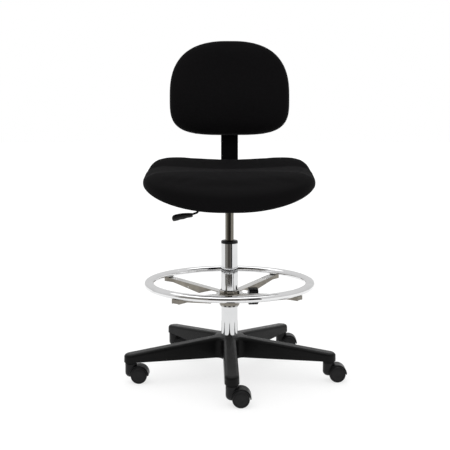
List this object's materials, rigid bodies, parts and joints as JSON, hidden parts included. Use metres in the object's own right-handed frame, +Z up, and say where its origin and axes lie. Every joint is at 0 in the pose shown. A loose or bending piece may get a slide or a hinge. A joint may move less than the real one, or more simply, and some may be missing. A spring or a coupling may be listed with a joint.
{
  "type": "drafting chair",
  "caption": "Tall armless swivel work chair: dished upholstered seat and backrest, chrome gas-lift column, adjustable chrome foot ring, star base on twin-wheel casters.",
  "frame": {"origin": "on the floor, on the column's axis", "axes": "+Z up along the column, -Y the way the sitter faces, +X to the left of the sitter"},
  "size_m": [0.6551, 0.6067, 1.015],
  "materials": {
    "base_nylon": "fine-grained black",
    "wheel_nylon": "satin black",
    "black_plastic": "satin black",
    "chrome": "polished",
    "steel": "plain bright",
    "black_steel": "satin black",
    "silver_steel": "satin silver",
    "rubber": "soft black",
    "fabric": "plain woven, charcoal",
    "plywood": "bare plywood"
  },
  "bodies": {
    "base": {"base_star": "base_nylon", "hub_ring": "steel", "caster_stems": "steel", "column_tube": "chrome", "guide_bushing": "black_plastic", "bearing_lower_race": "steel", "bearing_balls": "steel"},
    "gas_rod": {"piston_rod": "steel", "piston": "black_plastic", "bearing_upper_race": "steel", "bump_stop": "rubber", "rod_clip": "steel"},
    "seat": {"gas_cylinder": "black_steel", "rod_gland": "black_plastic", "mechanism_housing": "black_steel", "spring_socket": "steel", "lever_pin": "steel", "seat_board": "plywood", "tee_nuts": "steel", "plate_bolts": "steel", "seat_cushion": "fabric", "underside_cover": "black_plastic"},
    "lever": {"lever_rod": "black_steel", "lever_grip": "black_plastic"},
    "valve": {"valve_button": "steel"},
    "back_bar": {"back_bar": "black_steel"},
    "depth_knob": {"depth_knob": "black_plastic"},
    "back_carriage": {"back_carriage": "black_plastic"},
    "height_knob": {"height_knob": "black_plastic"},
    "backrest": {"back_cushion": "fabric", "back_board": "plywood", "back_bracket": "black_steel", "back_screws": "steel", "back_shell": "black_plastic", "pivot_pin": "steel"},
    "ring_sleeve": {"ring_sleeve": "black_plastic"},
    "foot_ring": {"foot_ring": "chrome", "ring_spider": "silver_steel", "ring_screws": "steel"},
    "ring_knob": {"ring_knob": "black_plastic"},
    "caster_1": {"caster_1_hood": "black_plastic", "caster_1_axle": "steel"},
    "caster_1_wheel_front": {"caster_1_wheel_front": "wheel_nylon"},
    "caster_1_wheel_rear": {"caster_1_wheel_rear": "wheel_nylon"},
    "caster_2": {"caster_2_hood": "black_plastic", "caster_2_axle": "steel"},
    "caster_2_wheel_front": {"caster_2_wheel_front": "wheel_nylon"},
    "caster_2_wheel_rear": {"caster_2_wheel_rear": "wheel_nylon"},
    "caster_3": {"caster_3_hood": "black_plastic", "caster_3_axle": "steel"},
    "caster_3_wheel_front": {"caster_3_wheel_front": "wheel_nylon"},
    "caster_3_wheel_rear": {"caster_3_wheel_rear": "wheel_nylon"},
    "caster_4": {"caster_4_hood": "black_plastic", "caster_4_axle": "steel"},
    "caster_4_wheel_front": {"caster_4_wheel_front": "wheel_nylon"},
    "caster_4_wheel_rear": {"caster_4_wheel_rear": "wheel_nylon"},
    "caster_5": {"caster_5_hood": "black_plastic", "caster_5_axle": "steel"},
    "caster_5_wheel_front": {"caster_5_wheel_front": "wheel_nylon"},
    "caster_5_wheel_rear": {"caster_5_wheel_rear": "wheel_nylon"}
  },
  "joints": [
    {"name": "seat_swivel", "type": "hinge", "parent": "base", "child": "gas_rod", "pos_m": [0, 0, 0], "axis": [0, 0, 1], "continuous": true},
    {"name": "seat_height", "type": "slide", "parent": "gas_rod", "child": "seat", "axis": [0, 0, 1], "range_m": [-0.07, 0.18]},
    {"name": "lever_lift", "type": "hinge", "parent": "seat", "child": "lever", "pos_m": [-0.028, 0, 0.52], "axis": [0, 1, 0], "range_deg": [0, 8], "stiffness_Nm_per_rad": 0.8, "springref_deg": -6.88},
    {"name": "valve_press", "type": "slide", "parent": "seat", "child": "valve", "axis": [0, 0, -1], "range_m": [0, 0.0042], "stiffness_N_per_m": 100, "springref_m": -0.002},
    {"name": "seat_depth", "type": "slide", "parent": "seat", "child": "back_bar", "axis": [0, 1, 0], "range_m": [-0.008, 0.04]},
    {"name": "depth_knob_turn", "type": "hinge", "parent": "seat", "child": "depth_knob", "pos_m": [0, 0.104, 0.484], "axis": [0, 0, 1], "range_deg": [0, 360]},
    {"name": "back_height", "type": "slide", "parent": "back_bar", "child": "back_carriage", "axis": [0, 0.1045, 0.9945], "range_m": [-0.03, 0.018]},
    {"name": "height_knob_turn", "type": "hinge", "parent": "back_carriage", "child": "height_knob", "pos_m": [0, 0.25341, 0.79531], "axis": [0, 0.9945, -0.1045], "range_deg": [0, 360]},
    {"name": "back_tilt", "type": "hinge", "parent": "back_carriage", "child": "backrest", "pos_m": [0, 0.22209, 0.7986], "axis": [1, 0, 0], "range_deg": [-8, 8], "stiffness_Nm_per_rad": 90},
    {"name": "ring_height", "type": "slide", "parent": "base", "child": "ring_sleeve", "axis": [0, 0, 1], "range_m": [-0.08, 0.095]},
    {"name": "ring_swivel", "type": "hinge", "parent": "ring_sleeve", "child": "foot_ring", "pos_m": [0, 0, 0], "axis": [0, 0, 1], "continuous": true},
    {"name": "ring_knob_turn", "type": "hinge", "parent": "foot_ring", "child": "ring_knob", "pos_m": [0, 0, 0.2346], "axis": [0.9945, 0.1045, 0], "range_deg": [0, 360]},
    {"name": "caster_1_swivel", "type": "hinge", "parent": "base", "child": "caster_1", "pos_m": [0.00668, -0.30613, 0.05], "axis": [0, 0, 1], "continuous": true},
    {"name": "caster_1_front_roll", "type": "hinge", "parent": "caster_1", "child": "caster_1_wheel_front", "pos_m": [0.03068, -0.30613, 0.024], "axis": [0, 1, 0], "continuous": true},
    {"name": "caster_1_rear_roll", "type": "hinge", "parent": "caster_1", "child": "caster_1_wheel_rear", "pos_m": [0.03068, -0.30613, 0.024], "axis": [0, 1, 0], "continuous": true},
    {"name": "caster_2_swivel", "type": "hinge", "parent": "base", "child": "caster_2", "pos_m": [0.29321, -0.08825, 0.05], "axis": [0, 0, 1], "continuous": true},
    {"name": "caster_2_front_roll", "type": "hinge", "parent": "caster_2", "child": "caster_2_wheel_front", "pos_m": [0.31721, -0.08825, 0.024], "axis": [0, 1, 0], "continuous": true},
    {"name": "caster_2_rear_roll", "type": "hinge", "parent": "caster_2", "child": "caster_2_wheel_rear", "pos_m": [0.31721, -0.08825, 0.024], "axis": [0, 1, 0], "continuous": true},
    {"name": "caster_3_swivel", "type": "hinge", "parent": "base", "child": "caster_3", "pos_m": [0.17453, 0.25159, 0.05], "axis": [0, 0, 1], "continuous": true},
    {"name": "caster_3_front_roll", "type": "hinge", "parent": "caster_3", "child": "caster_3_wheel_front", "pos_m": [0.19853, 0.25159, 0.024], "axis": [0, 1, 0], "continuous": true},
    {"name": "caster_3_rear_roll", "type": "hinge", "parent": "caster_3", "child": "caster_3_wheel_rear", "pos_m": [0.19853, 0.25159, 0.024], "axis": [0, 1, 0], "continuous": true},
    {"name": "caster_4_swivel", "type": "hinge", "parent": "base", "child": "caster_4", "pos_m": [-0.18534, 0.24374, 0.05], "axis": [0, 0, 1], "continuous": true},
    {"name": "caster_4_front_roll", "type": "hinge", "parent": "caster_4", "child": "caster_4_wheel_front", "pos_m": [-0.16134, 0.24374, 0.024], "axis": [0, 1, 0], "continuous": true},
    {"name": "caster_4_rear_roll", "type": "hinge", "parent": "caster_4", "child": "caster_4_wheel_rear", "pos_m": [-0.16134, 0.24374, 0.024], "axis": [0, 1, 0], "continuous": true},
    {"name": "caster_5_swivel", "type": "hinge", "parent": "base", "child": "caster_5", "pos_m": [-0.28908, -0.10095, 0.05], "axis": [0, 0, 1], "continuous": true},
    {"name": "caster_5_front_roll", "type": "hinge", "parent": "caster_5", "child": "caster_5_wheel_front", "pos_m": [-0.26508, -0.10095, 0.024], "axis": [0, 1, 0], "continuous": true},
    {"name": "caster_5_rear_roll", "type": "hinge", "parent": "caster_5", "child": "caster_5_wheel_rear", "pos_m": [-0.26508, -0.10095, 0.024], "axis": [0, 1, 0], "continuous": true}
  ],
  "couplings": [
    {"joint": "valve_press", "follows": "lever_lift", "m_per_rad": 0.028}
  ]
}
